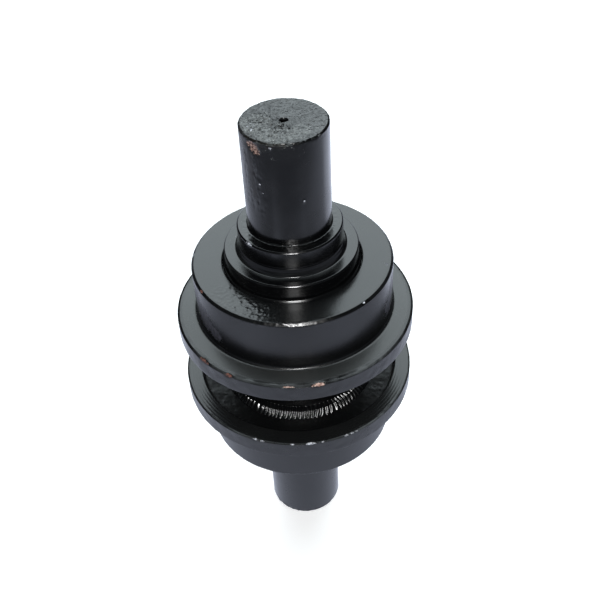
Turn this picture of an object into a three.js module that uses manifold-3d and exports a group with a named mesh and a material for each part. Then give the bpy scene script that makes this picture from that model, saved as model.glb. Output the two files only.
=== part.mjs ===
// Track roller for a crawler undercarriage, standing on the lower end of its shaft.
// Two flanged shells are welded to a centre tube and turn on a fixed shaft, on a flanged bushing
// at each end. A pair of floating seal rings between each shell and its collar keeps the oil in.
// Millimetres, +Z up. The origin is the middle of the roller, on the shaft's axis.
// Every lathe profile is a list of (radius, height) points, drawn for the upper end and running
// anticlockwise: outwards along the bottom, up the outside, inwards along the top.
import * as THREE from "three";
import { mergeVertices } from "three/addons/utils/BufferGeometryUtils.js";
import Module from "manifold-3d";

// Driving dimensions.
const SHAFT_R = 32.5;
const SHAFT_HALF = 211;
const TREAD_R = 80;
const FLANGE_R = 97;
const ROLLER_HALF = 89; // middle of the roller to a shell's outer end face
const GROOVE_HALF = 26; // half the gap between the two flanges
const RIM_W = 15; // width of a flange at its rim
const NECK_R = 56; // outside of the centre tube
const COLLAR_TOP = 124; // middle of the roller to the collar's shoulder
const COLLAR_STEP = 102; // middle of the roller to the collar's wide ring

// Clearances.
const GAP = 0.3; // between pieces pressed or welded together
const RUNNING = 0.15; // shaft to bushing, on the radius
const END_PLAY = 0.5; // collar to bushing flange
const FACE_GAP = 0.2; // between the lapped faces of a seal pair

// Bores and seats inside the roller.
const SHELL_BORE_R = 37.5;
const OIL_SPACE_R = 44;
const OIL_SPACE_HALF = 13;
const SPIGOT_R = 50.1; // centre tube's end, inside the shell
const SPIGOT_END = 43.2;
const DISH_Z = 33.6; // bottom of the dished web, at the neck
const BUSH_SEAT_R = 43.3;
const BUSH_SEAT_Z = 62;
const BUSH_FLANGE_TOP = 66.3;
const SEAL_SEAT_R = 50.5;
const SEAL_SEAT_FLOOR = 67;
const SEAL_SEAT_TOP = 80;
const MOUTH_R = 55.7; // counterbore that the collar's skirt turns in
const COLLAR_SEAT_FLOOR = 97;
const SEAL_PLANE = 82; // where the two rings of a seal meet

// Small features.
const SHAFT_CHAMFER = 1.3;
const ORING_Z = 90;
const ORING_GROOVE_R = 29.3;
const ORING_GROOVE_HALF = 2.3;
const PIN_R = 3.9;
const PIN_HALF = 24.3;
const PIN_OFFSET = 33.5; // pin axis to shaft axis, so the pin keys both
const PIN_Z = 114;
const OIL_BORE_R = 5;
const OIL_BORE_END = 8;
const CROSS_HOLE_R = 4;
const PLUG_BORE_R = 10;
const PLUG_BORE_TOP = 188;
const PLUG_SEAT_R = 14.2;
const PLUG_HEAD_R = 13.4;
const PLUG_SEAT_DEPTH = 6.5;
const WASHER_TOP = PLUG_SEAT_DEPTH - SHAFT_HALF - GAP;
const WASHER_BOTTOM = WASHER_TOP - 1.5;
const PLUG_SUNK = 1; // plug's head below the shaft's end
const CENTRE_HOLE_R = 2.75;
const CENTRE_HOLE_DEPTH = 16;

// Facets round the axis: the same count on large pieces keeps their clearances even.
const AROUND = 40;
const AROUND_SMALL = 32;

const wasm = await Module();
wasm.setup();

// A closed geometry as a solid that can be joined and cut.
function solidOf(geometry) {
  const bare = geometry.index ? geometry.toNonIndexed() : geometry.clone();
  bare.deleteAttribute("normal");
  bare.deleteAttribute("uv");
  const merged = mergeVertices(bare, 1e-4);
  return new wasm.Manifold(
    new wasm.Mesh({
      numProp: 3,
      vertProperties: merged.attributes.position.array,
      triVerts: new Uint32Array(merged.index.array),
    }),
  );
}

function geometryOf(solid) {
  const mesh = solid.getMesh();
  const geometry = new THREE.BufferGeometry();
  geometry.setAttribute("position", new THREE.BufferAttribute(mesh.vertProperties, 3));
  geometry.setIndex(new THREE.BufferAttribute(mesh.triVerts, 1));
  geometry.computeVertexNormals();
  return geometry;
}

function cut(geometry, ...tools) {
  return geometryOf(tools.reduce((solid, tool) => solid.subtract(solidOf(tool)), solidOf(geometry)));
}

// Points along an arc in the profile plane, angles in degrees from the outward direction.
function arc(radius, r, z, from, to, steps) {
  return Array.from({ length: steps + 1 }, (_, i) => {
    const angle = THREE.MathUtils.degToRad(from + ((to - from) * i) / steps);
    return [r + radius * Math.cos(angle), z + radius * Math.sin(angle)];
  });
}

// A profile turned about +Z. A profile that doesn't reach the axis is closed on itself.
function turned(profile, around = AROUND) {
  const points = profile.map(([r, z]) => new THREE.Vector2(r, z));
  if (points[0].x > 0) points.push(points[0].clone());
  return new THREE.LatheGeometry(points, around).rotateX(Math.PI / 2);
}

// A round bar along X, through the point (0, y, z).
function barAlongX(radius, half, y, z) {
  return new THREE.CylinderGeometry(radius, radius, 2 * half, 20).rotateZ(Math.PI / 2).translate(0, y, z);
}

const PAINT = { color: 0x0c0d0e, roughness: 0.22, metalness: 0.0 };
const BRONZE = { color: 0xb08348, roughness: 0.35, metalness: 1.0 };
const SEAL_IRON = { color: 0x8b8e90, roughness: 0.2, metalness: 1.0 };
const STEEL = { color: 0x9a9da0, roughness: 0.35, metalness: 1.0 };
const COPPER = { color: 0xb86b42, roughness: 0.3, metalness: 1.0 };
const RUBBER = { color: 0x141414, roughness: 0.7, metalness: 0.0 };

function part(name, geometry, finish) {
  const mesh = new THREE.Mesh(geometry, new THREE.MeshStandardMaterial(finish));
  mesh.name = name;
  return mesh;
}

// The shaft: a straight bar with a lathe centre in its upper end, an oil bore from its lower end
// to a cross hole in the middle, and under each collar an O-ring groove and a notch for the pin.
function shaftGeometry() {
  const groove = (z) => [
    [SHAFT_R, z - ORING_GROOVE_HALF],
    [ORING_GROOVE_R, z - ORING_GROOVE_HALF],
    [ORING_GROOVE_R, z + ORING_GROOVE_HALF],
    [SHAFT_R, z + ORING_GROOVE_HALF],
  ];
  const body = turned([
    [0, OIL_BORE_END],
    [OIL_BORE_R, OIL_BORE_END - 2],
    [OIL_BORE_R, -PLUG_BORE_TOP],
    [PLUG_BORE_R, -PLUG_BORE_TOP],
    [PLUG_BORE_R, PLUG_SEAT_DEPTH - SHAFT_HALF],
    [PLUG_SEAT_R, PLUG_SEAT_DEPTH - SHAFT_HALF],
    [PLUG_SEAT_R, -SHAFT_HALF],
    [SHAFT_R - SHAFT_CHAMFER, -SHAFT_HALF],
    [SHAFT_R, SHAFT_CHAMFER - SHAFT_HALF],
    ...groove(-ORING_Z),
    ...groove(ORING_Z),
    [SHAFT_R, SHAFT_HALF - SHAFT_CHAMFER],
    [SHAFT_R - SHAFT_CHAMFER, SHAFT_HALF],
    [CENTRE_HOLE_R + 1, SHAFT_HALF],
    [CENTRE_HOLE_R, SHAFT_HALF - 1.2],
    [CENTRE_HOLE_R, SHAFT_HALF - CENTRE_HOLE_DEPTH + 1.5],
    [0, SHAFT_HALF - CENTRE_HOLE_DEPTH],
  ]);
  const notch = (z) => barAlongX(PIN_R + GAP, SHAFT_R, PIN_OFFSET, z);
  return cut(body, barAlongX(CROSS_HOLE_R, SHAFT_R + 5, 0, 0), notch(PIN_Z), notch(-PIN_Z));
}

// A shell: the tread, the flange with its dished inner web, and the seats for the bushing, the
// seal and the collar's skirt.
function shellProfile() {
  const rim = 1.5; // bevel along the flange's two edges
  const bevel = 2.2; // bevel along the tread's outer edge
  const fillet = 3; // tread to flange
  const flangeTop = GROOVE_HALF + RIM_W;
  const slope = 2; // the flange is this much wider at the tread than at its rim
  const hollow = 5; // fillet at the edge of the dish
  const dishR = 83.6;
  return [
    [SHELL_BORE_R, SPIGOT_END + GAP],
    [SPIGOT_R + GAP, SPIGOT_END + GAP],
    [SPIGOT_R + GAP, DISH_Z],
    [NECK_R + 8, DISH_Z],
    ...arc(hollow, dishR - hollow, GROOVE_HALF + 0.4, 90, 0, 3),
    [dishR + 0.7, GROOVE_HALF],
    [FLANGE_R - rim, GROOVE_HALF],
    [FLANGE_R, GROOVE_HALF + rim],
    [FLANGE_R, flangeTop - rim],
    [FLANGE_R - rim, flangeTop + 0.2],
    ...arc(fillet, TREAD_R + fillet, flangeTop + slope + fillet, 270, 180, 2),
    [TREAD_R, ROLLER_HALF - bevel],
    [TREAD_R - bevel, ROLLER_HALF],
    [MOUTH_R + 0.8, ROLLER_HALF],
    [MOUTH_R, ROLLER_HALF - 0.8],
    [MOUTH_R, SEAL_SEAT_TOP],
    [SEAL_SEAT_R, SEAL_SEAT_TOP],
    [SEAL_SEAT_R, SEAL_SEAT_FLOOR],
    [BUSH_SEAT_R, SEAL_SEAT_FLOOR],
    [BUSH_SEAT_R, BUSH_SEAT_Z],
    [SHELL_BORE_R, BUSH_SEAT_Z],
  ];
}

// The tube between the shells, with a spigot into each and a wider space for oil in the middle.
function centreTubeProfile() {
  const shoulder = DISH_Z - GAP;
  return [
    [SHELL_BORE_R, -SPIGOT_END],
    [SPIGOT_R, -SPIGOT_END],
    [SPIGOT_R, -shoulder],
    [NECK_R, -shoulder],
    [NECK_R, shoulder],
    [SPIGOT_R, shoulder],
    [SPIGOT_R, SPIGOT_END],
    [SHELL_BORE_R, SPIGOT_END],
    [SHELL_BORE_R, OIL_SPACE_HALF],
    [OIL_SPACE_R, OIL_SPACE_HALF],
    [OIL_SPACE_R, -OIL_SPACE_HALF],
    [SHELL_BORE_R, -OIL_SPACE_HALF],
  ];
}

// The convex fillet weld in the corner between the tube and a shell's web.
function weldProfile() {
  const leg = 7;
  const corner = new THREE.Vector2(NECK_R + GAP, DISH_Z - GAP);
  const bead = new THREE.QuadraticBezierCurve(
    new THREE.Vector2(corner.x, corner.y - leg),
    new THREE.Vector2(corner.x + 0.72 * leg, corner.y - 0.72 * leg),
    new THREE.Vector2(corner.x + leg, corner.y),
  );
  return [...bead.getPoints(4).map((p) => [p.x, p.y]), [corner.x, corner.y]];
}

// A bushing: pressed into the shell and the tube, with a thrust flange towards the collar.
function bushingProfile() {
  const bore = SHAFT_R + RUNNING;
  const outside = SHELL_BORE_R - GAP;
  return [
    [bore, OIL_SPACE_HALF + 1],
    [outside, OIL_SPACE_HALF + 1],
    [outside, BUSH_SEAT_Z + GAP],
    [BUSH_SEAT_R - GAP, BUSH_SEAT_Z + GAP],
    [BUSH_SEAT_R - GAP, BUSH_FLANGE_TOP],
    [bore + 0.8, BUSH_FLANGE_TOP],
    [bore, BUSH_FLANGE_TOP - 0.8],
  ];
}

// A collar: a tapered hub and a wide ring outside the roller, and inside it a skirt round the
// seal and a sleeve against the bushing. A cross hole takes the pin that fixes it to the shaft.
function collarGeometry() {
  const bore = SHAFT_R + GAP;
  const hubTopR = 41;
  const hubFootR = 43.3;
  const ringR = 52.9;
  const skirtR = 54.8;
  const sleeveR = 39.5;
  const skirtEnd = SEAL_SEAT_TOP + 1.6;
  const fillet = 2.2;
  const body = turned([
    [bore, BUSH_FLANGE_TOP + END_PLAY],
    [sleeveR, BUSH_FLANGE_TOP + END_PLAY],
    [sleeveR, COLLAR_SEAT_FLOOR],
    [SEAL_SEAT_R, COLLAR_SEAT_FLOOR],
    [SEAL_SEAT_R, skirtEnd],
    [skirtR, skirtEnd],
    [skirtR, ROLLER_HALF],
    [ringR, COLLAR_STEP - 1.2],
    [ringR - 1.2, COLLAR_STEP],
    ...arc(fillet, hubFootR + fillet, COLLAR_STEP + fillet, 270, 180, 2),
    [hubTopR, COLLAR_TOP - 1],
    [hubTopR - 1, COLLAR_TOP],
    [bore + 0.8, COLLAR_TOP],
    [bore, COLLAR_TOP - 0.8],
  ]);
  return cut(body, barAlongX(PIN_R + GAP, skirtR, PIN_OFFSET, PIN_Z));
}

// One ring of a floating seal: a lapped face and a tail that the toric ring grips. The turning
// ring lies below the seal plane, and the fixed one is its mirror image above.
function sealRingProfile(fixed) {
  const face = SEAL_PLANE - FACE_GAP / 2;
  const below = [
    [41, face - 12.9],
    [44.3, face - 12.9],
    [44.9, face - 4.3],
    [49.2, face - 3.5],
    [49.2, face],
    [41, face],
  ];
  return fixed ? below.map(([r, z]) => [r, 2 * SEAL_PLANE - z]).reverse() : below;
}

const TORIC = { ring: 47.65, section: 2.5, offset: 8.6 };
const ORING = { ring: (SHAFT_R + ORING_GROOVE_R) / 2, section: 1.4 };

function ringSection({ ring, section }, z) {
  return arc(section, ring, z, 0, 300, 5);
}

// The oil plug: a flanged screw plug with a hexagon socket, a little below the shaft's end.
function plugGeometry() {
  const head = PLUG_SUNK - SHAFT_HALF;
  const flangeTop = WASHER_BOTTOM - GAP;
  const threadEnd = -PLUG_BORE_TOP - 1;
  const socketR = 5.8;
  const socketDepth = 8;
  const socket = new THREE.CylinderGeometry(socketR, socketR, 2 * socketDepth, 6)
    .rotateX(Math.PI / 2)
    .translate(0, 0, head);
  const body = turned(
    [
      [0, head],
      [PLUG_HEAD_R - 0.8, head],
      [PLUG_HEAD_R, head + 0.8],
      [PLUG_HEAD_R, flangeTop],
      [PLUG_BORE_R - GAP, flangeTop],
      [PLUG_BORE_R - GAP, threadEnd - 1],
      [PLUG_BORE_R - GAP - 1, threadEnd],
      [0, threadEnd],
    ],
    AROUND_SMALL,
  );
  return cut(body, socket);
}

function washerProfile() {
  const inner = PLUG_BORE_R + GAP;
  const outer = PLUG_HEAD_R + 0.2;
  return [
    [inner, WASHER_BOTTOM],
    [outer, WASHER_BOTTOM],
    [outer, WASHER_TOP],
    [inner, WASHER_TOP],
  ];
}

// The pieces at one end of the shaft, which stay still with it.
function fixedEnd(end) {
  return [
    part(`collar_${end}`, collarGeometry(), PAINT),
    part(`collar_pin_${end}`, barAlongX(PIN_R, PIN_HALF, PIN_OFFSET, PIN_Z), STEEL),
    part(`shaft_o_ring_${end}`, turned(ringSection(ORING, ORING_Z), AROUND_SMALL), RUBBER),
    part(`fixed_seal_ring_${end}`, turned(sealRingProfile(true), AROUND_SMALL), SEAL_IRON),
    part(
      `fixed_toric_ring_${end}`,
      turned(ringSection(TORIC, SEAL_PLANE + TORIC.offset), AROUND_SMALL),
      RUBBER,
    ),
  ];
}

// The pieces at one end of the roller, which turn with it.
function turningEnd(end) {
  return [
    part(`shell_${end}`, turned(shellProfile()), PAINT),
    part(`weld_bead_${end}`, turned(weldProfile()), PAINT),
    part(`bushing_${end}`, turned(bushingProfile()), BRONZE),
    part(`turning_seal_ring_${end}`, turned(sealRingProfile(false), AROUND_SMALL), SEAL_IRON),
    part(
      `turning_toric_ring_${end}`,
      turned(ringSection(TORIC, SEAL_PLANE - TORIC.offset), AROUND_SMALL),
      RUBBER,
    ),
  ];
}

// The lower end is the upper one turned half round about Y, which keeps the pins on the same side.
function bothEnds(pieces) {
  const upper = new THREE.Group().add(...pieces("upper"));
  const lower = new THREE.Group().add(...pieces("lower"));
  lower.rotation.y = Math.PI;
  return [upper, lower];
}

const axle = new THREE.Group();
axle.add(part("shaft", shaftGeometry(), PAINT));
axle.add(part("oil_plug", plugGeometry(), STEEL));
axle.add(part("plug_washer", turned(washerProfile(), AROUND_SMALL), COPPER));
axle.add(...bothEnds(fixedEnd));

const roller = new THREE.Group();
roller.add(part("centre_tube", turned(centreTubeProfile()), PAINT));
roller.add(...bothEnds(turningEnd));

const trackRoller = new THREE.Group();
trackRoller.add(axle, roller);

export default trackRoller;
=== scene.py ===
"""The looks of a crawler's track roller: a forged, turned and welded roller on a fixed shaft, in
glossy black paint that has been knocked off here and there, standing on the end of its shaft.

Nearly every piece is a profile of corners (radius, height, rounding) in millimetres, drawn for the
upper end and turned about the shaft's axis, with relief worked into the mesh. Azimuth is in degrees
from the side towards the camera, positive to its right."""

import math

import bmesh
import bpy
import numpy as np
from mathutils import Matrix, Vector, noise


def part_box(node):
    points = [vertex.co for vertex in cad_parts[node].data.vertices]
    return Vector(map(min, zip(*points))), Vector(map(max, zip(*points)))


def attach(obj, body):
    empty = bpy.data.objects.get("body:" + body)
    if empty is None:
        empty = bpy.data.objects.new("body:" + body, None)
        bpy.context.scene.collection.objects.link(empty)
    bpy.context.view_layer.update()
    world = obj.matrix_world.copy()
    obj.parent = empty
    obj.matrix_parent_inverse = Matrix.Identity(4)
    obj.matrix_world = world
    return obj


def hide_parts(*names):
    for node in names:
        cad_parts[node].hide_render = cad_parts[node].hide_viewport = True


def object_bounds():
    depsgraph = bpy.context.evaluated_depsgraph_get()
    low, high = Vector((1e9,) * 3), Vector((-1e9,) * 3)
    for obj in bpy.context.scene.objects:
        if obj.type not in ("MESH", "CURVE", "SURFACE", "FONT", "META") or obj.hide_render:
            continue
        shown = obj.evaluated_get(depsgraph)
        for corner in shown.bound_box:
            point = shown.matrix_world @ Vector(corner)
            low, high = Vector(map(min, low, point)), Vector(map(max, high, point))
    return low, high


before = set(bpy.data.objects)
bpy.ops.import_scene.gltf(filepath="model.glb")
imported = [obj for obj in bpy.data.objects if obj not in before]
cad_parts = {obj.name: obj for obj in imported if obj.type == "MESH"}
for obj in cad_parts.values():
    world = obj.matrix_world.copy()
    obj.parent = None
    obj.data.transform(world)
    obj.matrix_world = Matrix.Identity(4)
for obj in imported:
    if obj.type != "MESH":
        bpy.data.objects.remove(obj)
cad_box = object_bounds()

MM = 0.001
FRONT = -math.pi / 2  # the camera's side of the roller, as an angle from +X


def reach(node):
    """A CAD node's outer radius, lowest and highest height, in millimetres."""
    low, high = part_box(node)
    return high.x / MM, low.z / MM, high.z / MM


SHAFT_R, _, SHAFT_TOP = reach("shaft")
FLANGE_R, GROOVE_TOP, ROLLER_TOP = reach("shell_upper")
COLLAR_R, SKIRT_END, COLLAR_TOP = reach("collar_upper")
NECK_R, _, SPIGOT_END = reach("centre_tube")
_, _, WELD_TOP = reach("weld_bead_upper")
BUSH_R, BUSH_END, BUSH_TOP = reach("bushing_upper")
PIN_HALF, _, PIN_TOP = reach("collar_pin_upper")
PLUG_R, PLUG_HEAD, PLUG_END = reach("oil_plug")

TREAD_R = 80
COLLAR_STEP = 102
SHELL_BORE_R = 37.5
SPIGOT_R = 50.1
BUSH_SEAT_R = 43.3
SEAL_SEAT_R = 50.5
MOUTH_R = 55.7
GAP = 0.3  # kept between pieces that touch
ABOVE = 9  # past the end of the metal, so that a range has no edge there


# ---------------------------------------------------------------- shapes


def around(azimuth):
    """A unit vector from the axis, at an azimuth in degrees from the camera's side."""
    turn = FRONT + math.radians(azimuth)
    return Vector((math.cos(turn), math.sin(turn), 0))


def place(azimuth, radius, height):
    """A point in millimetres, on a circle about the shaft's axis."""
    return around(azimuth) * radius + Vector((0, 0, height))


def rounded(corners):
    """The outline through the corners (radius, height, rounding), each one turned into an arc."""
    outline = []
    count = len(corners)
    for i, (r, z, rounding) in enumerate(corners):
        here = Vector((r, z))
        if not rounding:
            outline.append(here)
            continue
        before = (Vector(corners[i - 1][:2]) - here).normalized()
        after = (Vector(corners[(i + 1) % count][:2]) - here).normalized()
        half = math.acos(max(-1, min(1, before.dot(after)))) / 2
        reach_back = rounding / math.tan(half)
        centre = here + (before + after).normalized() * (rounding / math.sin(half))
        start = here + before * reach_back - centre
        end = here + after * reach_back - centre
        steps = max(3, round((math.pi - 2 * half) / math.radians(13)))
        for k in range(steps + 1):
            outline.append(centre + start.slerp(end, k / steps) * rounding)
    return outline


def divided(outline, step, closed):
    """The outline with points at most step apart."""
    pairs = list(zip(outline, outline[1:] + outline[:1]))
    if not closed:
        pairs.pop()
    points = []
    for a, b in pairs:
        parts = max(1, math.ceil((b - a).length / step(a, b)))
        points += [a.lerp(b, k / parts) for k in range(parts)]
    if not closed:
        points.append(outline[-1])
    return np.array([tuple(p) for p in points])


def crinkle(points, per_mm, octaves=3, seed=0, share=None):
    """Smooth noise of about -1 to 1, with features of 1 / per_mm millimetres, times the share."""
    shift = Vector((31.7, 17.3, 11.9)) * seed
    flat = points.reshape(-1, 3) * per_mm
    shares = np.ones(len(flat)) if share is None else share.reshape(-1)
    values = np.zeros(len(flat))
    for i in np.nonzero(shares)[0]:
        values[i] = noise.fractal(Vector(flat[i]) + shift, 1.0, 2.0, octaves)
    return (values * shares).reshape(points.shape[:-1])


def dents(points, spots):
    """Shallow hollows at the spots (azimuth, radius, height, length round the axis, width)."""
    total = np.zeros(points.shape[:-1])
    for azimuth, radius, height, length, width in spots:
        away = points - np.array(place(azimuth, radius, height))
        along = away @ np.array(around(azimuth + 90))
        across = (away**2).sum(-1) - along**2
        total += width * np.exp(-((2 * along / length) ** 2) - across * (2 / width) ** 2)
    return total


def between(values, low, high, soft):
    """1 where the values lie between low and high, with soft edges."""
    rise = np.clip((values - low) / soft + 0.5, 0, 1)
    fall = np.clip((high - values) / soft + 0.5, 0, 1)
    return rise * fall


def azimuth_of(points):
    return np.degrees(np.arctan2(points[..., 0], -points[..., 1]))


def turned(name, corners, segments, step=2.0, relief=None, lower=False, closed=True):
    """A body of revolution. relief(points, normals) gives its height in mm at each point."""
    spacing = step if callable(step) else lambda a, b: step
    rz = divided(rounded(corners), spacing, closed)
    ahead = np.roll(rz, -1, 0) - np.roll(rz, 1, 0)
    if not closed:
        ahead[0] = rz[1] - rz[0]
        ahead[-1] = rz[-1] - rz[-2]
    ahead /= np.linalg.norm(ahead, axis=1)[:, None]
    turn = np.linspace(0, 2 * math.pi, segments, endpoint=False)[None, :]

    def spun(r, z):
        flat = [r[:, None] * np.cos(turn), r[:, None] * np.sin(turn), z[:, None] + 0 * turn]
        solid = np.stack(flat, -1)
        return solid * (-1, 1, -1) if lower else solid

    points = spun(rz[:, 0], rz[:, 1])
    if relief:
        normals = spun(ahead[:, 1], -ahead[:, 0])
        points = points + normals * relief(points, normals)[..., None]

    rows = len(rz)
    verts = points.reshape(-1, 3)
    faces = []
    spans = rows if closed else rows - 1
    for i in range(spans):
        a = i * segments
        b = (i + 1) % rows * segments
        for j in range(segments):
            k = (j + 1) % segments
            faces.append((a + j, a + k, b + k, b + j))
    mesh = bpy.data.meshes.new(name)
    mesh.from_pydata([tuple(v) for v in verts * MM], [], faces)
    if not closed:
        close_poles(mesh)
    return finished(name, mesh)


def close_poles(mesh):
    """Joins the points that lie on the axis, where an open outline starts and ends."""
    shape = bmesh.new()
    shape.from_mesh(mesh)
    bmesh.ops.remove_doubles(shape, verts=shape.verts, dist=0.02 * MM)
    shape.to_mesh(mesh)
    shape.free()


def finished(name, mesh, crease=32):
    """An object of the mesh, smooth except across edges sharper than crease degrees."""
    mesh.validate()
    shape = bmesh.new()
    shape.from_mesh(mesh)
    for face in shape.faces:
        face.smooth = True
    for edge in shape.edges:
        edge.smooth = edge.calc_face_angle(0) < math.radians(crease)
    shape.to_mesh(mesh)
    shape.free()
    made = bpy.data.objects.new(name, mesh)
    bpy.context.scene.collection.objects.link(made)
    return made


def cut(piece, tool):
    """Cuts the tool's shape out of the piece, and deletes the tool."""
    boolean = piece.modifiers.new("cut", "BOOLEAN")
    boolean.object = tool
    boolean.solver = "EXACT"
    graph = bpy.context.evaluated_depsgraph_get()
    mesh = bpy.data.meshes.new_from_object(piece.evaluated_get(graph))
    name = piece.name
    bpy.data.objects.remove(piece)
    bpy.data.objects.remove(tool)
    return finished(name, mesh)


def bar_along_x(name, radius, half, y, z, bevel=0.0):
    """A round bar along X, through (0, y, z)."""
    corners = [(0, -half, 0), (radius, -half, bevel), (radius, half, bevel), (0, half, 0)]
    bar = turned(name, corners, 48, closed=False)
    lie = Matrix.Rotation(math.pi / 2, 4, "Y")
    bar.data.transform(Matrix.Translation(Vector((0, y, z)) * MM) @ lie)
    return bar


# ---------------------------------------------------------------- finishes


def connect(tree, value, socket):
    if isinstance(value, bpy.types.NodeSocket):
        tree.links.new(value, socket)
    else:
        socket.default_value = value


def add(tree, kind, inputs=None, **settings):
    """A new shader node with its settings and its inputs filled in."""
    made = tree.nodes.new("ShaderNode" + kind)
    for key, value in settings.items():
        setattr(made, key, value)
    for key, value in (inputs or {}).items():
        connect(tree, value, made.inputs[key])
    return made


def calc(tree, operation, *values, clamp=False):
    inputs = dict(enumerate(values))
    return add(tree, "Math", inputs, operation=operation, use_clamp=clamp).outputs[0]


def grain(tree, coords, scale, detail=2.0, roughness=0.5):
    inputs = {"Vector": coords, "Scale": scale, "Detail": detail, "Roughness": roughness}
    return add(tree, "TexNoise", inputs).outputs["Fac"]


def spread(tree, value, low, high, to_low=0.0, to_high=1.0):
    """Maps low..high smoothly to to_low..to_high."""
    inputs = {
        "Value": value, "From Min": low, "From Max": high, "To Min": to_low, "To Max": to_high,
    }
    return add(tree, "MapRange", inputs, interpolation_type="SMOOTHSTEP").outputs["Result"]


def blend_colour(tree, share, first, second):
    made = add(tree, "Mix", {0: share}, data_type="RGBA")
    connect(tree, first, made.inputs[6])
    connect(tree, second, made.inputs[7])
    return made.outputs[2]


def blend_value(tree, share, first, second):
    made = add(tree, "Mix", {0: share, 2: first, 3: second}, data_type="FLOAT")
    return made.outputs[0]


def material(name):
    made = bpy.data.materials.new(name)
    made.use_nodes = True
    tree = made.node_tree
    surface = tree.nodes["Principled BSDF"]
    coords = add(tree, "TexCoord").outputs["Object"]
    return made, tree, surface, coords


LARGE_SPOT = 12  # mm across at least


def spot_mask(tree, coords, spots):
    """1 inside the spots (azimuth, radius, height, length round the axis, width), with ragged
    edges, which wander further on the large ones."""
    fine = calc(tree, "MULTIPLY_ADD", grain(tree, coords, 700, 2.0), 1.5, -0.75)
    coarse = calc(tree, "MULTIPLY_ADD", grain(tree, coords, 150, 5.0, 0.7), 4.0, -2.0)
    mask = None
    for azimuth, radius, height, length, width in spots:
        inputs = {
            "Vector": coords,
            "Location": place(azimuth, radius, height) * MM,
            "Rotation": (0, 0, math.radians(azimuth)),
            "Scale": (length / 2 * MM, width / 2 * MM, width / 2 * MM),
        }
        local = add(tree, "Mapping", inputs, vector_type="TEXTURE").outputs["Vector"]
        share = add(tree, "VectorMath", {0: local}, operation="LENGTH").outputs["Value"]
        ragged = coarse if min(length, width) > LARGE_SPOT else fine
        inside = spread(tree, calc(tree, "ADD", share, ragged), 1.2, 0.85)
        mask = inside if mask is None else calc(tree, "MAXIMUM", mask, inside)
    return mask


def zone(tree, coords, radii, heights, soft=0.8):
    """1 where the distances from the axis and from the roller's middle lie in the ranges, in mm."""
    parts = add(tree, "SeparateXYZ", {"Vector": coords}).outputs
    squares = [calc(tree, "POWER", parts[k], 2) for k in (0, 1)]
    radius = calc(tree, "SQRT", calc(tree, "ADD", *squares))
    mask = None
    for value, (low, high) in ((radius, radii), (calc(tree, "ABSOLUTE", parts[2]), heights)):
        rise = spread(tree, value, (low - soft) * MM, (low + soft) * MM)
        fall = spread(tree, value, (high - soft) * MM, (high + soft) * MM, 1.0, 0.0)
        both = calc(tree, "MULTIPLY", rise, fall)
        mask = both if mask is None else calc(tree, "MULTIPLY", mask, both)
    return mask, radius


PAINT_BLACK = (0.0020, 0.0021, 0.0024, 1)
PAINT_DUSTY = (0.0090, 0.0092, 0.0090, 1)
ZONE_DUST = (0.050, 0.053, 0.051, 1)

# Looks of bare or dirty places, and of painted sheen and glints: darker and lighter colour,
# roughness, depth below the paint in mm.
PALE_COPPER = ((0.22, 0.10, 0.07, 1), (0.66, 0.46, 0.38, 1), 0.40, 0.12)
PALE_COPPER_WORN = ((0.045, 0.016, 0.010, 1), (0.44, 0.30, 0.25, 1), 0.50, 0.12)
DULL_RED = ((0.020, 0.008, 0.006, 1), (0.17, 0.065, 0.045, 1), 0.55, 0.12)
# Bare steel, and painted glints: its pale bluish white stands in for the flash's glint on chips and
# dents.
BARE_STEEL_AND_GLINT = ((0.10, 0.10, 0.11, 1), (0.72, 0.74, 0.80, 1), 0.30, 0.10)
# Dirt, and painted dark reflection: the same near-black also blackens the front of the shaft's
# upper edge.
DIRT_AND_DARK_EDGE = ((0.0018, 0.0015, 0.0012, 1), (0.0080, 0.0060, 0.0042, 1), 0.36, 0.08)
# Painted sheen: mottled lavender patches that stand in for the floor's reflection on the tread's
# sides.
PAINTED_SHEEN = ((0.006, 0.006, 0.008, 1), (0.070, 0.068, 0.084, 1), 0.42, 0.02)
WORN_END = ((0.0020, 0.0020, 0.0020, 1), (0.11, 0.114, 0.11, 1), 0.28, 0.03)


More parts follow.
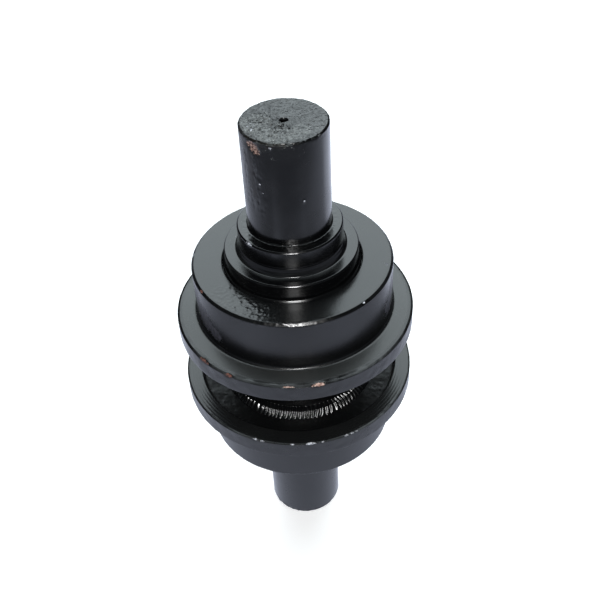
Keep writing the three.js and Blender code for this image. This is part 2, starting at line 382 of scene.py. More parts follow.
def paint(name, gloss=0.2, peel=0.012, grit=0.004, dust=0.35, places=(), zones=()):
    """Glossy black paint. peel and grit are the heights in mm of its coarse and fine texture, and
    dust is the most that its cloudy places hold. places are pairs of a look and its spots. zones
    are (radii, heights, gloss, texture in mm, ring pitch in mm, share of dust)."""
    made, tree, surface, coords = material(name)
    cloud = grain(tree, coords, 38, 4.0)
    fine = grain(tree, coords, 650, 3.0, 0.6)
    mottled = calc(tree, "ADD", cloud, calc(tree, "MULTIPLY", fine, 0.35))
    dusty = spread(tree, mottled, 0.58, 0.92, 0.0, dust)
    colour = blend_colour(tree, dusty, PAINT_BLACK, PAINT_DUSTY)
    rough = spread(tree, cloud, 0.3, 0.75, gloss * 0.85, gloss * 1.25)
    rough = calc(tree, "ADD", rough, calc(tree, "MULTIPLY", dusty, 0.1))
    height = calc(tree, "MULTIPLY", grain(tree, coords, 330, 2.0), peel)
    height = calc(tree, "ADD", height, calc(tree, "MULTIPLY", grain(tree, coords, 1500, 2.0), grit))
    for radii, heights, zone_gloss, texture, pitch, share in zones:
        mask, radius = zone(tree, coords, radii, heights)
        rough = blend_value(tree, mask, rough, zone_gloss)
        settled = calc(tree, "MULTIPLY", mask, share)
        colour = blend_colour(tree, settled, colour, ZONE_DUST)
        if pitch:
            turns = calc(tree, "MULTIPLY", radius, 2 * math.pi / (pitch * MM))
            marks = calc(tree, "SINE", calc(tree, "ADD", turns, calc(tree, "MULTIPLY", cloud, 5.0)))
        else:
            marks = calc(tree, "MULTIPLY", grain(tree, coords, 420, 4.0, 0.65), 2.0)
        raised = calc(tree, "MULTIPLY", calc(tree, "MULTIPLY", marks, mask), texture)
        height = calc(tree, "ADD", height, raised)
    for (darker, lighter, bare_rough, depth), spots in places:
        mask = spot_mask(tree, coords, spots)
        bare = blend_colour(tree, spread(tree, fine, 0.40, 0.62), darker, lighter)
        colour = blend_colour(tree, mask, colour, bare)
        rough = blend_value(tree, mask, rough, bare_rough)
        height = calc(tree, "SUBTRACT", height, calc(tree, "MULTIPLY", mask, depth))
    connect(tree, colour, surface.inputs["Base Color"])
    connect(tree, rough, surface.inputs["Roughness"])
    surface.inputs["IOR"].default_value = 1.5
    bump = add(tree, "Bump", {"Strength": 1.0, "Distance": MM, "Height": height})
    connect(tree, bump.outputs["Normal"], surface.inputs["Normal"])
    return made


def metal(name, colour, dark, gloss, streak=(1, 1, 1)):
    """Bare metal with fine machining marks, which run along the axis with the smallest streak."""
    made, tree, surface, coords = material(name)
    mapping = add(tree, "Mapping", {"Vector": coords, "Scale": streak}).outputs["Vector"]
    marks = grain(tree, mapping, 900, 3.0)
    stain = spread(tree, grain(tree, coords, 60, 4.0), 0.35, 0.7)
    connect(tree, blend_colour(tree, stain, colour, dark), surface.inputs["Base Color"])
    rough = spread(tree, marks, 0.3, 0.7, gloss * 0.8, gloss * 1.3)
    connect(tree, rough, surface.inputs["Roughness"])
    surface.inputs["Metallic"].default_value = 1.0
    bump = add(tree, "Bump", {"Strength": 0.6, "Distance": 0.01 * MM, "Height": marks})
    connect(tree, bump.outputs["Normal"], surface.inputs["Normal"])
    return made


def rubber(name):
    made, tree, surface, coords = material(name)
    dark, pale = (0.008, 0.008, 0.008, 1), (0.03, 0.03, 0.03, 1)
    bloom = grain(tree, coords, 160, 4.0)
    colour = blend_colour(tree, spread(tree, bloom, 0.35, 0.75), dark, pale)
    connect(tree, colour, surface.inputs["Base Color"])
    connect(tree, spread(tree, bloom, 0.3, 0.7, 0.5, 0.75), surface.inputs["Roughness"])
    marks = grain(tree, coords, 1800)
    bump = add(tree, "Bump", {"Strength": 0.4, "Distance": 0.02 * MM, "Height": marks})
    connect(tree, bump.outputs["Normal"], surface.inputs["Normal"])
    return made


def dress(piece, node, finish, body):
    """The piece stands for the CAD node, in its finish, and rides on the node's body."""
    piece.data.materials.clear()
    piece.data.materials.append(finish)
    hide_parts(node)
    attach(piece, body)


# ---------------------------------------------------------------- shaft

SHAFT_BARE = [
    (-46.5, SHAFT_R, SHAFT_TOP - 4.6, 7.0, 5.2),
    (-42.5, SHAFT_R, SHAFT_TOP - 6.4, 7.6, 6.4),
    (-39, SHAFT_R, SHAFT_TOP - 8.4, 5.6, 5.0),
    (150, SHAFT_R, SHAFT_TOP - 3.5, 6.0, 2.6),
]
# Pale flecks, partly bare steel and partly painted glints on dents and lumps.
SHAFT_FLECKS_AND_GLINTS = [
    (-38, SHAFT_R, SHAFT_TOP - 8.2, 2.0, 1.2),
    (-18.5, SHAFT_R, SHAFT_TOP - 2.8, 2.0, 1.8),
    (20, SHAFT_R, 162.5, 1.8, 1.5),
    (-37, SHAFT_R, 176.0, 1.4, 1.2),
    (-34, SHAFT_R, 169.0, 1.4, 1.0),
    (-84, SHAFT_R - 8.6, SHAFT_TOP, 2.4, 1.6),
    (-77, SHAFT_R - 6.6, SHAFT_TOP, 2.0, 1.8),
    (-72, SHAFT_R - 9.4, SHAFT_TOP, 2.6, 1.6),
    (-66, SHAFT_R - 7.4, SHAFT_TOP, 2.2, 1.6),
    (-79, SHAFT_R - 10.8, SHAFT_TOP, 1.8, 1.4),
]
SHAFT_WORN = [
    (-70, SHAFT_R - 11, SHAFT_TOP, 26, 30),
    (-25, SHAFT_R - 11, SHAFT_TOP, 30, 20),
    (28, SHAFT_R - 13, SHAFT_TOP, 22, 14),
]
SHAFT_DIRT_AND_DARK_EDGE = [
    # The first four are painted dark reflection, blackening the front of the upper end's edge. The
    # rest are dirt down the left of the shaft.
    (-76, SHAFT_R, SHAFT_TOP - 1.0, 18.0, 7.0),
    (-52, SHAFT_R, SHAFT_TOP - 3.0, 17.0, 11.0),
    (-28, SHAFT_R, SHAFT_TOP - 1.6, 15.0, 6.0),
    (-8, SHAFT_R, SHAFT_TOP - 0.8, 12.0, 3.0),
    (-54, SHAFT_R, 196.0, 9.0, 24.0),
    (-51, SHAFT_R, 182.0, 8.0, 24.0),
    (-47, SHAFT_R, 169.0, 5.0, 16.0),
]


def shaft_relief(points, normals):
    azimuth = azimuth_of(points)
    z = points[..., 2]
    upward = np.abs(normals[..., 2])
    side = 1 - upward
    top = upward * between(z, SHAFT_TOP - 0.6, SHAFT_TOP + ABOVE, 0.5)
    bottom = upward * between(-z, SHAFT_TOP - 0.6, SHAFT_TOP + ABOVE, 0.5)
    left = 0.55 + 0.45 * between(azimuth, -150, 40, 60)
    folds = crinkle(points * (1.0, 1.0, 0.3), 0.33, 3, 1, top * left)
    relief = 0.50 * (top * left - 2 * np.abs(folds))
    relief += 0.50 * crinkle(points * (0.6, 1.0, 0.3), 0.45, 2, 31, top * left)
    relief += 0.12 * crinkle(points, 0.09, 2, 2, top + bottom)
    relief += 0.05 * crinkle(points, 0.05, 2, 3, side)
    pitted = side * between(azimuth, -66, -32, 14) * between(z, 148, SHAFT_TOP, 24)
    relief -= 0.50 * np.clip(crinkle(points, 0.33, 3, 4, pitted), 0, 1)
    edge = between(np.abs(z), SHAFT_TOP - 3.2, SHAFT_TOP + ABOVE, 2) * between(side, 0.2, 2, 0.2)
    relief += 0.26 * crinkle(points, 0.24, 3, 5, edge)
    battered = edge * between(azimuth, -75, -12, 16)
    relief += 0.5 * crinkle(points, 0.30, 3, 32, battered)
    relief -= 0.14 * dents(points, SHAFT_BARE)
    relief += 0.25 * dents(points, SHAFT_FLECKS_AND_GLINTS)
    return relief


def shaft_spacing(a, b):
    """Fine at the upper end, coarser where less shows, and coarse inside the roller."""
    if a.y > SHAFT_TOP - 8:
        return 0.5
    if a.y < 8 - SHAFT_TOP:
        return 1.0
    if abs(a.y) < ROLLER_TOP:
        return 8
    return 1.5 if a.y > 0 else 3


def make_shaft():
    groove_r, groove_half, groove_z = 29.3, 2.3, 90
    hole_r, hole_depth = 2.75, 16
    oil_bore_r, oil_bore_end = 5, 8
    plug_seat_r, plug_seat_depth, plug_bore_r, plug_bore_end = 14.2, 6.5, 10, -188
    chamfer, chamfer_drop = 1.5, 1.15

    def groove(z):
        return [
            (SHAFT_R, z - groove_half, 0.2),
            (groove_r, z - groove_half, 0.3),
            (groove_r, z + groove_half, 0.3),
            (SHAFT_R, z + groove_half, 0.2),
        ]

    corners = [
        (0, oil_bore_end, 0),
        (oil_bore_r, oil_bore_end - 2, 0.3),
        (oil_bore_r, plug_bore_end, 0.3),
        (plug_bore_r, plug_bore_end, 0.3),
        (plug_bore_r, plug_seat_depth - SHAFT_TOP, 0.2),
        (plug_seat_r, plug_seat_depth - SHAFT_TOP, 0.3),
        (plug_seat_r, -SHAFT_TOP, 0.5),
        (SHAFT_R - chamfer, -SHAFT_TOP, 0.3),
        (SHAFT_R, chamfer_drop - SHAFT_TOP, 0.3),
        *groove(-groove_z),
        *groove(groove_z),
        (SHAFT_R, SHAFT_TOP - chamfer_drop, 0.15),
        (SHAFT_R - chamfer, SHAFT_TOP, 0.3),
        (hole_r + 0.7, SHAFT_TOP, 0.3),
        (hole_r, SHAFT_TOP - 1.0, 0.3),
        (hole_r, SHAFT_TOP - hole_depth + 1.5, 0.2),
        (0, SHAFT_TOP - hole_depth, 0),
    ]
    piece = turned("shaft_bar", corners, 360, shaft_spacing, shaft_relief, closed=False)
    finish = paint(
        "shaft_paint", gloss=0.21, peel=0.012, grit=0.004,
        places=(
            (WORN_END, SHAFT_WORN), (DIRT_AND_DARK_EDGE, SHAFT_DIRT_AND_DARK_EDGE), (PALE_COPPER_WORN, SHAFT_BARE),
            (BARE_STEEL_AND_GLINT, SHAFT_FLECKS_AND_GLINTS),
        ),
        zones=(((4, 31), (199, 202), 0.20, 0.10, 0, 0.05),),
    )
    dress(piece, "shaft", finish, "shaft_assembly")


# ---------------------------------------------------------------- collars

# Flecks on the hub. The upper one is a painted glint on a dent.
HUB_FLECKS_AND_GLINTS = [(-42, 42.6, 108.5, 1.8, 1.3), (-51, 40.6, 123.2, 5.5, 2.0)]


def collar_relief(points, normals):
    azimuth = azimuth_of(points)
    z = np.abs(points[..., 2])
    side = 1 - np.abs(normals[..., 2])
    relief = 0.02 * crinkle(points, 0.08, 2, 6)
    for tool_mark in (106.0, 108.2, 110.6):
        relief -= 0.20 * side * np.exp(-(((z - tool_mark) / 0.55) ** 2))
    front = 0.4 + 0.6 * between(azimuth, -80, 50, 40)
    top = between(z, COLLAR_TOP - 1.5, COLLAR_TOP + ABOVE, 1.5) * front
    relief += 0.10 * crinkle(points, 0.22, 3, 7, top)
    radius = np.hypot(points[..., 0], points[..., 1])
    foot = between(z, COLLAR_TOP - 0.5, COLLAR_TOP + ABOVE, 0.5) * between(radius, 0, 36, 2)
    relief += 0.22 * crinkle(points, 0.3, 3, 33, foot)
    relief -= 0.3 * dents(points, HUB_FLECKS_AND_GLINTS)
    return relief


def collar_spacing(a, b):
    """Fine outside the roller, and coarse inside it."""
    return 1.0 if min(a.y, b.y) > ROLLER_TOP - 4 else 4


PIN_AXIS_Y, PIN_AXIS_Z = 33.5, 114


def make_collar(end, lower):
    """The hub, the wide ring and the skirt, and a fillet of paint from the hub to the shaft."""
    bore = SHAFT_R + GAP
    hub_r, hub_foot_r, ring_r, ring_foot_r = 41, 43.3, 52.9, 53.2
    skirt_foot = 97
    hub_edge, ring_edge = 1.1, 0.9
    corners = [
        (bore, BUSH_TOP + 0.5, 0.4),
        (39.5, BUSH_TOP + 0.5, 0.6),
        (39.5, skirt_foot, 1.0),
        (SEAL_SEAT_R, skirt_foot, 1.5),
        (SEAL_SEAT_R, SKIRT_END, 0.5),
        (COLLAR_R, SKIRT_END, 0.8),
        (COLLAR_R, ROLLER_TOP - 2, 0.6),
        (ring_foot_r, ROLLER_TOP - 0.5, 1.0),
        (ring_r, COLLAR_STEP - ring_edge, 0.4),
        (ring_r - ring_edge, COLLAR_STEP, 0.4),
        (hub_foot_r, COLLAR_STEP, 1.6),
        (41.1, 108.0, 9),
        (hub_r, COLLAR_TOP - hub_edge, 0.4),
        (hub_r - hub_edge, COLLAR_TOP, 0.4),
        (SHAFT_R + 0.1, COLLAR_TOP, 1.1),
        (SHAFT_R, COLLAR_TOP + 1.5, 0),
        (SHAFT_R - 0.2, COLLAR_TOP + 1.5, 0),
        (SHAFT_R - 0.2, COLLAR_TOP - 2, 0),
        (bore, COLLAR_TOP - 2.5, 0),
    ]
    piece = turned(f"collar_casting_{end}", corners, 400, collar_spacing, collar_relief, lower)
    tool = bar_along_x("pin_hole", 4.2, 60, PIN_AXIS_Y, -PIN_AXIS_Z if lower else PIN_AXIS_Z)
    piece = cut(piece, tool)
    dress(piece, f"collar_{end}", COLLAR_PAINT, "shaft_assembly")


def make_pin(end, lower):
    z = -PIN_AXIS_Z if lower else PIN_AXIS_Z
    radius = PIN_TOP - PIN_AXIS_Z
    piece = bar_along_x(f"pin_{end}", radius, PIN_HALF, PIN_AXIS_Y, z, bevel=0.8)
    dress(piece, f"collar_pin_{end}", PIN_STEEL, "shaft_assembly")


# ---------------------------------------------------------------- roller

RIM_PALE = [
    (-5.4, FLANGE_R - 0.8, 41.0, 8.5, 1.5),
    (8.4, FLANGE_R - 0.7, 41.0, 9.5, 3.0),
    (161, FLANGE_R - 0.6, 40.9, 8.0, 2.4),
    (-128, FLANGE_R - 0.6, -40.9, 8.0, 2.4),
]
RIM_DULL = [
    (-49.5, FLANGE_R - 0.6, 40.9, 7.0, 3.0),
    (-46.8, FLANGE_R - 0.6, 40.9, 4.0, 1.8),
    (-34, FLANGE_R - 0.5, 40.5, 6.0, 3.0),
    (118, FLANGE_R - 0.5, 40.9, 5.0, 2.2),
    (-136, FLANGE_R - 0.5, 40.9, 6.0, 2.4),
    (-63, TREAD_R - 1.0, 88.0, 4.0, 1.8),
]
# Chips on the rims' edges, bare steel whose pale colour is partly a painted glint.
RIM_STEEL_AND_GLINTS = [
    (-23.5, FLANGE_R - 0.7, -26.3, 4.5, 1.5),
    (-20, FLANGE_R - 0.5, -26.4, 4.0, 1.3),
    (-5.5, FLANGE_R - 0.5, -26.3, 2.6, 1.1),
    (3.4, FLANGE_R - 0.5, -26.4, 7.5, 2.0),
    (9.0, FLANGE_R - 0.5, -26.4, 2.4, 1.2),
    (21, FLANGE_R - 0.5, -26.4, 3.0, 1.4),
    (24, FLANGE_R - 0.5, -26.4, 2.6, 1.2),
    (26.5, FLANGE_R - 0.5, -26.4, 2.0, 1.2),
    (-110, FLANGE_R - 0.5, -26.4, 5.0, 1.6),
    (142, FLANGE_R - 0.5, -26.4, 5.0, 1.6),
    (-97, TREAD_R - 1.1, 87.9, 3.0, 1.4),
    (40.5, TREAD_R - 1.1, 88.6, 2.2, 1.1),
]
# Painted sheen on the tread's left and right sides, where the tread reflects the floor.
TREAD_SHEEN_PATCHES = [
    (-72, TREAD_R, 76, 14, 16),
    (-64, TREAD_R, 63, 22, 22),
    (-52, TREAD_R, 56, 14, 12),
    (74, TREAD_R, 74, 16, 22),
    (66, TREAD_R, 60, 14, 16),
]


def shell_relief(points, normals):
    azimuth = azimuth_of(points)
    radius = np.hypot(points[..., 0], points[..., 1])
    z = np.abs(points[..., 2])
    upward = np.abs(normals[..., 2])
    relief = 0.025 * crinkle(points, 0.04, 2, 8)
    outer_face = upward * between(z, ROLLER_TOP - 0.8, ROLLER_TOP + ABOVE, 0.5)
    lumpy = outer_face * between(azimuth, -58, -14, 14) * between(radius, 60, 79, 7)
    relief += 0.60 * np.clip(crinkle(points, 0.46, 2, 9, lumpy) - 0.08 * lumpy, -0.1, 1)
    edge = between(z, ROLLER_TOP - 2.8, ROLLER_TOP + ABOVE, 1.5)
    edge *= between(radius, TREAD_R - 3.4, TREAD_R + ABOVE, 1)
    relief += 0.10 * crinkle(points, 0.15, 3, 10, edge)
    nibs = edge * between(azimuth, -30, 22, 12)
    relief += 0.40 * np.clip(crinkle(points, 0.42, 2, 34, nibs) - 0.12 * nibs, 0, 1)
    web = between(z, GROOVE_TOP + 1, 36, 1) * between(radius, NECK_R, 83.4, 1.5)
    relief += 0.22 * crinkle(points, 0.12, 3, 11, web)
    relief += 0.16 * crinkle(points, 0.34, 2, 35, web)
    rim = between(radius, FLANGE_R - 2.4, FLANGE_R + ABOVE, 1)
    rim *= between(z, GROOVE_TOP - ABOVE, 46, 1)
    relief += 0.16 * crinkle(points, 0.13, 3, 12, rim)
    relief -= 0.16 * dents(points, RIM_PALE + RIM_DULL)
    relief -= 0.20 * dents(points, RIM_STEEL_AND_GLINTS)
    return relief


def shell_spacing(a, b):
    """Fine on the outer end face, coarser on the other outside faces, and coarse inside."""
    if min(a.x, b.x) < MOUTH_R - 1:
        return 4
    return 0.8 if min(a.y, b.y) > ROLLER_TOP - 3 else 1.3


def make_shell(end, lower):
    flange_top = 41
    web_top = 33.6
    end_edge = 1.9
    corners = [
        (SHELL_BORE_R, SPIGOT_END + GAP, 0.4),
        (SPIGOT_R + GAP, SPIGOT_END + GAP, 0.4),
        (SPIGOT_R + GAP, web_top, 0.5),
        (64, web_top, 6),
        (82.6, 30.4, 3.2),
        (84.2, GROOVE_TOP - 1.4, 0.5),
        (FLANGE_R - 1.5, GROOVE_TOP, 0.3),
        (FLANGE_R, GROOVE_TOP + 0.6, 0.2),
        (FLANGE_R, flange_top - 0.7, 0.2),
        (FLANGE_R - 1.9, flange_top + 0.2, 0.3),
        (TREAD_R, flange_top + 2.4, 2.8),
        (TREAD_R, ROLLER_TOP - end_edge, 0.5),
        (TREAD_R - end_edge, ROLLER_TOP, 0.5),
        (MOUTH_R, ROLLER_TOP, 0.8),
        (MOUTH_R, 80, 0.6),
        (SEAL_SEAT_R, 80, 0.4),
        (SEAL_SEAT_R, 67, 1.2),
        (BUSH_SEAT_R, 67, 0.4),
        (BUSH_SEAT_R, 62, 0.4),
        (SHELL_BORE_R, 62, 0.4),
    ]
    piece = turned(f"shell_forging_{end}", corners, 520, shell_spacing, shell_relief, lower)
    dress(piece, f"shell_{end}", ROLLER_PAINT, "roller")


def make_tube():
    shoulder = 33.3
    space_r, space_half = 44, 13
    corners = [
        (SHELL_BORE_R, -SPIGOT_END, 0.4),
        (SPIGOT_R, -SPIGOT_END, 0.5),
        (SPIGOT_R, -shoulder, 0.3),
        (NECK_R, -shoulder, 0.5),
        (NECK_R, shoulder, 0.5),
        (SPIGOT_R, shoulder, 0.3),
        (SPIGOT_R, SPIGOT_END, 0.5),
        (SHELL_BORE_R, SPIGOT_END, 0.4),
        (SHELL_BORE_R, space_half, 0.5),
        (space_r, space_half, 1.0),
        (space_r, -space_half, 1.0),
        (SHELL_BORE_R, -space_half, 0.5),
    ]

    def relief(points, normals):
        outside = between(np.hypot(points[..., 0], points[..., 1]), NECK_R - 1, NECK_R + ABOVE, 1)
        return outside * 0.06 * crinkle(points, 0.08, 3, 13)

    piece = turned("neck_tube", corners, 300, 2.0, relief)
    dress(piece, "centre_tube", NECK_PAINT, "roller")


RIPPLES = 106  # once round a weld bead


def weld_relief(points, normals):
    """Rounded ripples side by side round the bead, each one pushed forward at its middle."""
    radius = np.hypot(points[..., 0], points[..., 1])
    middle, width = 61, 9
    across = np.clip((radius - middle) / width, -0.5, 0.5)
    turn = np.radians(azimuth_of(points)) / (2 * math.pi)
    wander = 0.9 * crinkle(points, 0.05, 2, 14)
    phase = (turn * RIPPLES + 1.2 * across**2 + wander) % 1
    crescent = 0.5 + 0.5 * np.cos(2 * math.pi * phase)
    relief = 0.8 * crescent * (1 - 2.0 * across**2) + 0.25 * crinkle(points, 0.09, 2, 15)
    exposed = normals[..., 2] * np.sign(points[..., 2]) < 0.2
    return np.where(exposed, relief - 0.35, 0)


def make_weld(end, lower):
    """The bead is a little wider than it is high, and is sunk into the tube and the web."""
    width, height = 9.0, 6.3
    sunk = 0.3
    corners = [
        (NECK_R - sunk, WELD_TOP - height, 0),
        (NECK_R + 0.42 * width, WELD_TOP - 0.66 * height, 3.0),
        (NECK_R + width, WELD_TOP + sunk, 0),
        (NECK_R - sunk, WELD_TOP + sunk, 0),
    ]
    piece = turned(f"weld_{end}", corners, 1272, 0.6, weld_relief, lower)
    dress(piece, f"weld_bead_{end}", WELD_PAINT, "roller")


# ---------------------------------------------------------------- inside


def make_bushing(end, lower):
    running_clearance = 0.15
    bore = SHAFT_R + running_clearance
    flange_foot = 62.3
    corners = [
        (bore, BUSH_END, 0.4),
        (SHELL_BORE_R - GAP, BUSH_END, 0.6),
        (SHELL_BORE_R - GAP, flange_foot, 0.3),
        (BUSH_R, flange_foot, 0.3),
        (BUSH_R, BUSH_TOP, 0.5),
        (bore, BUSH_TOP, 0.8),
    ]
    piece = turned(f"bush_{end}", corners, 160, 6, lower=lower)
    dress(piece, f"bushing_{end}", BRONZE, "roller")


SEAL_PLANE = 82
SEAL_HALF_GAP = 0.1


def make_seal_ring(end, lower, fixed):
    """One of a pair of iron rings, whose lapped faces meet at the seal plane."""
    face = SEAL_PLANE - SEAL_HALF_GAP
    bore, outer, depth = 41, 49.2, 12.9
    corners = [
        (bore, face - depth, 0.4),
        (44.3, face - depth, 0.4),
        (44.9, face - 4.3, 1.0),
        (outer, face - 3.5, 0.4),
        (outer, face, 0.3),
        (bore, face, 0.3),
    ]
    if fixed:
        corners = [(r, 2 * SEAL_PLANE - z, rounding) for r, z, rounding in reversed(corners)]
    kind, body = ("fixed", "shaft_assembly") if fixed else ("turning", "roller")
    piece = turned(f"{kind}_seal_{end}", corners, 160, 6, lower=lower)
    dress(piece, f"{kind}_seal_ring_{end}", SEAL_IRON, body)


# Rubber rings: radius of the ring, radius of its section and height, in millimetres.
FIXED_TORIC = (47.65, 2.5, 90.6)
TURNING_TORIC = (47.65, 2.5, 73.4)
SHAFT_O_RING = (30.9, 1.4, 90)


def make_round_ring(name, node, ring, lower, body):
    """A rubber ring of round section."""
    ring_r, section_r, height = ring
    turn = [math.radians(30 * k) for k in range(12)]
    corners = [
        (ring_r + section_r * math.cos(t), height + section_r * math.sin(t), 0) for t in turn
    ]
    piece = turned(name, corners, 160, 6, lower=lower)
    dress(piece, node, RUBBER, body)


def make_plug():
    """The oil plug, its threads drawn as rings, with a hexagon socket cut in its head."""
    socket_r, socket_depth = 5.8, 8
    thread_r, pitch = 9.7, 2
    flange_top = PLUG_HEAD + 3.4
    threads = []
    for k in range(7):
        z = flange_top + 1.5 + pitch * k
        threads += [(thread_r - 1.1, z, 0.15), (thread_r, z + 1, 0.1)]
    corners = [
        (0, PLUG_HEAD, 0),
        (PLUG_R, PLUG_HEAD, 0.8),
        (PLUG_R, flange_top, 0.3),
        *threads,
        (thread_r - 1.3, PLUG_END, 0.3),
        (0, PLUG_END, 0),
    ]
    piece = turned("plug_screw", corners, 96, 2.0, closed=False)
    hexagon = bpy.data.meshes.new("socket")
    shape = bmesh.new()
    bmesh.ops.create_cone(
        shape, cap_ends=True, segments=6, radius1=socket_r * MM, radius2=socket_r * MM,
        depth=2 * socket_depth * MM, matrix=Matrix.Translation((0, 0, PLUG_HEAD * MM)),
    )
    shape.to_mesh(hexagon)
    shape.free()
    piece = cut(piece, finished("socket", hexagon))
    dress(piece, "oil_plug", PLUG_STEEL, "shaft_assembly")


def make_washer():
    outer, low, high = reach("plug_washer")
    bore = 10.3
    corners = [(bore, low, 0.3), (outer, low, 0.4), (outer, high, 0.4), (bore, high, 0.3)]
    piece = turned("washer_ring", corners, 96, 2.0)
    dress(piece, "plug_washer", COPPER, "shaft_assembly")


# ---------------------------------------------------------------- stage


def product(tree, *values):
    total = values[0]
    for value in values[1:]:
        total = calc(tree, "MULTIPLY", total, value)
    return total


FLOOR_LIFT = 0.45  # glow that brings the floor to plain white


def make_floor():
    """A wide pale floor, plain white where the camera sees it. The paint reflects a painted glow on
    it:
    pale only on the sheet that the roller stands on, in two places at the back and, less, round
    them.
    The rest glows dimmer, as a room's floor is."""
    floor_z = cad_box[0].z
    half = 15.0
    mesh = bpy.data.meshes.new("floor")
    square = [(-half, -half), (half, -half), (half, half), (-half, half)]
    mesh.from_pydata([(x, y, floor_z) for x, y in square], [], [(0, 1, 2, 3)])
    floor = bpy.data.objects.new("floor", mesh)
    bpy.context.scene.collection.objects.link(floor)
    finish = bpy.data.materials.new("floor_sheet")
    finish.use_nodes = True
    tree = finish.node_tree
    tree.nodes.clear()
    coords = add(tree, "TexCoord").outputs["Object"]
    parts = add(tree, "SeparateXYZ", {"Vector": coords}).outputs
    sides = spread(tree, calc(tree, "ABSOLUTE", parts[0]), 0.30, 0.40, 1.0, 0.0)
    front = spread(tree, parts[1], -0.50, -0.40)
    back = spread(tree, parts[1], 0.26, 0.42, 1.0, 0.0)

    def distance(x, y):
        inputs = {0: coords, 1: (x, y, floor_z)}
        return add(tree, "VectorMath", inputs, operation="DISTANCE").outputs["Value"]

    sheet = calc(tree, "MULTIPLY", product(tree, sides, front, back), 0.90)
    beyond = spread(tree, distance(0, 0), 0.33, 0.50)
    lit = spread(tree, distance(0.1, 0.35), 0.71, 0.90, 0.48, 0.0)
    glow = calc(tree, "MULTIPLY_ADD", beyond, lit, 0.30)
    right_back = spread(tree, distance(0.45, 0.48), 0.25, 0.46, 1.40, 0.0)
    left_back = spread(tree, distance(-0.45, 0.50), 0.30, 0.50, 0.56, 0.0)
    for patch in (sheet, right_back, left_back):
        glow = calc(tree, "MAXIMUM", glow, patch)
    seen = add(tree, "LightPath").outputs["Is Camera Ray"]
    reflected = add(tree, "Emission", {"Color": (0.93, 1.0, 1.2, 1), "Strength": glow})
    diffuse = add(tree, "BsdfDiffuse", {"Color": (0.95, 0.95, 0.95, 1)})
    lift = add(tree, "Emission", {"Color": (1, 1, 1, 1), "Strength": FLOOR_LIFT})
    pale = add(tree, "AddShader", {0: diffuse.outputs[0], 1: lift.outputs[0]})
    either = add(tree, "MixShader", {0: seen, 1: reflected.outputs[0], 2: pale.outputs[0]})
    output = add(tree, "OutputMaterial")
    tree.links.new(either.outputs[0], output.inputs["Surface"])
    mesh.materials.append(finish)


def make_surroundings():
    """A bright bank of soft light overhead and high behind the roller, a faint one low on the
    camera's side, and a dark room round them."""
    world = bpy.data.worlds.new("studio")
    world.use_nodes = True
    bpy.context.scene.world = world
    tree = world.node_tree
    background = tree.nodes["Background"]
    direction = add(tree, "TexCoord").outputs["Generated"]
    parts = add(tree, "SeparateXYZ", {"Vector": direction})
    x, y, z = (parts.outputs[k] for k in "XYZ")
    high = spread(tree, z, 0.30, 0.42)
    behind = spread(tree, y, -0.20, 0.10)
    from_left = spread(tree, x, -0.60, -0.30)
    to_right = spread(tree, x, 0.45, 0.62, 1.0, 0.0)
    bank = product(tree, high, behind, from_left, to_right)
    low = calc(tree, "MULTIPLY", spread(tree, z, 0.05, 0.15), spread(tree, z, 0.38, 0.50, 1.0, 0.0))
    faint = product(tree, low, spread(tree, y, -0.60, -0.35, 1.0, 0.0))
    strength = calc(tree, "MULTIPLY_ADD", bank, 3.15, 0.03)
    strength = calc(tree, "MULTIPLY_ADD", faint, 0.4, strength)
    seen = add(tree, "LightPath").outputs["Is Camera Ray"]
    strength = blend_value(tree, seen, strength, 1.0)
    tint = blend_colour(tree, seen, (0.875, 0.985, 1.03, 1), (1, 1, 1, 1))
    connect(tree, tint, background.inputs["Color"])
    connect(tree, strength, background.inputs["Strength"])


def make_lamp(name, power, size, where, towards):
    data = bpy.data.lights.new(name, "AREA")
    data.shape = "RECTANGLE"
    data.size, data.size_y = size
    data.energy = power
    lamp = bpy.data.objects.new(name, data)
    lamp.location = where
    lamp.rotation_euler = (Vector(towards) - Vector(where)).to_track_quat("-Z", "Y").to_euler()
    lamp.visible_camera = False
    bpy.context.scene.collection.objects.link(lamp)


LOOK_AT = Vector((0, 0, 0.0597))
CAMERA_ELEVATION = math.radians(40.97)
CAMERA_DISTANCE = 0.718
CAMERA_ROLL = math.radians(3.56)


def make_camera():
    """Makes the camera, and returns the direction from the roller to it."""
    data = bpy.data.cameras.new("camera")
    data.sensor_width = 36
    data.lens = 53.02
    data.shift_x = 0.0105
    data.shift_y = -0.0283
    camera = bpy.data.objects.new("camera", data)
    bpy.context.scene.collection.objects.link(camera)
    back = Vector((0, -math.cos(CAMERA_ELEVATION), math.sin(CAMERA_ELEVATION)))
    camera.location = LOOK_AT + back * CAMERA_DISTANCE
    aim = (-back).to_track_quat("-Z", "Y").to_matrix().to_4x4()
    lean = Matrix.Rotation(-CAMERA_ROLL, 4, "Z")
    camera.rotation_euler = (aim @ lean).to_euler()
    bpy.context.scene.camera = camera
    return back


def make_stage():
    """Camera, floor, room and a flash just above and behind the camera, whose light comes back from
    every corner of an upright wall with a level face. Blurring glossy light would hide that."""
    back = make_camera()
    make_floor()
    make_surroundings()
    flash = LOOK_AT + back * 0.85 + Vector((0, 0, 0.03))
    make_lamp("flash", 4.9, (0.2, 0.11), flash, LOOK_AT)
    scene = bpy.context.scene
    scene.view_settings.view_transform = "Standard"
    scene.view_settings.look = "None"
    scene.cycles.blur_glossy = 0.0


# ---------------------------------------------------------------- all of it

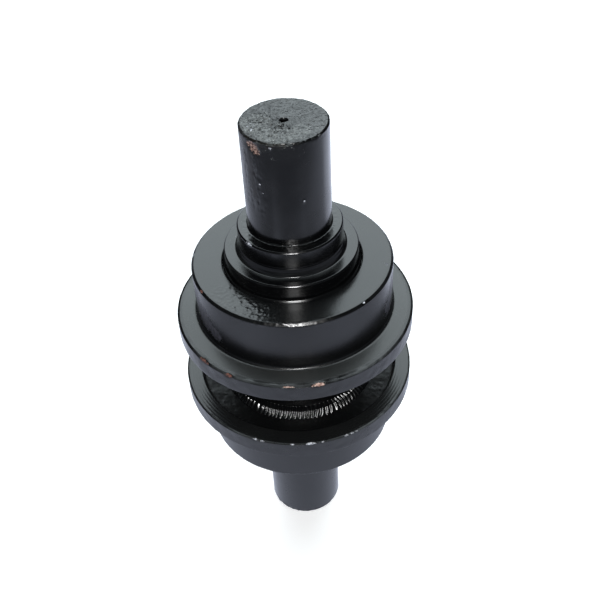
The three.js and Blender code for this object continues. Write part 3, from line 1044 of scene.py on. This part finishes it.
COLLAR_PAINT = paint(
    "collar_paint", gloss=0.18, peel=0.010, grit=0.003, dust=0.6,
    places=((BARE_STEEL_AND_GLINT, HUB_FLECKS_AND_GLINTS),),
)
ROLLER_PAINT = paint(
    "roller_paint", gloss=0.25, peel=0.014, grit=0.005,
    places=(
        (PAINTED_SHEEN, TREAD_SHEEN_PATCHES), (PALE_COPPER, RIM_PALE), (DULL_RED, RIM_DULL),
        (BARE_STEEL_AND_GLINT, RIM_STEEL_AND_GLINTS),
    ),
    zones=(
        ((79, 81.5), (45, 86.5), 0.27, 0.028, 0, 0.0),
        ((58, 77), (88, 90), 0.21, 0.020, 0, 0.04),
        ((81.5, 93), (38, 45), 0.26, 0.026, 0, 0.33),
        ((84.5, 95.5), (20, 30), 0.22, 0.018, 2.3, 0.12),
        ((64, 84), (25, 37), 0.32, 0.12, 0, 0.05),
    ),
)
NECK_PAINT = paint("neck_paint", gloss=0.3, peel=0.02, grit=0.008)
WELD_PAINT = paint("weld_paint", gloss=0.175, peel=0.008, grit=0.004)
PIN_STEEL = metal("pin_steel", (0.30, 0.30, 0.31, 1), (0.14, 0.12, 0.10, 1), 0.35, (1, 4, 4))
PLUG_STEEL = metal("plug_steel", (0.52, 0.49, 0.40, 1), (0.36, 0.33, 0.26, 1), 0.3)
COPPER = metal("washer_copper", (0.72, 0.38, 0.25, 1), (0.45, 0.22, 0.14, 1), 0.3)
BRONZE = metal("bushing_bronze", (0.62, 0.42, 0.20, 1), (0.42, 0.26, 0.12, 1), 0.3, (1, 1, 6))
SEAL_IRON = metal("seal_iron", (0.42, 0.43, 0.44, 1), (0.30, 0.30, 0.30, 1), 0.22)
RUBBER = rubber("seal_rubber")

make_shaft()
make_plug()
make_washer()
make_tube()
for end, lower in (("upper", False), ("lower", True)):
    make_collar(end, lower)
    make_pin(end, lower)
    make_shell(end, lower)
    make_weld(end, lower)
    make_bushing(end, lower)
    make_seal_ring(end, lower, fixed=True)
    make_seal_ring(end, lower, fixed=False)
    for name, node, ring, body in (
        (f"fixed_toric_{end}", f"fixed_toric_ring_{end}", FIXED_TORIC, "shaft_assembly"),
        (f"turning_toric_{end}", f"turning_toric_ring_{end}", TURNING_TORIC, "roller"),
        (f"o_ring_{end}", f"shaft_o_ring_{end}", SHAFT_O_RING, "shaft_assembly"),
    ):
        make_round_ring(name, node, ring, lower, body)

make_stage()
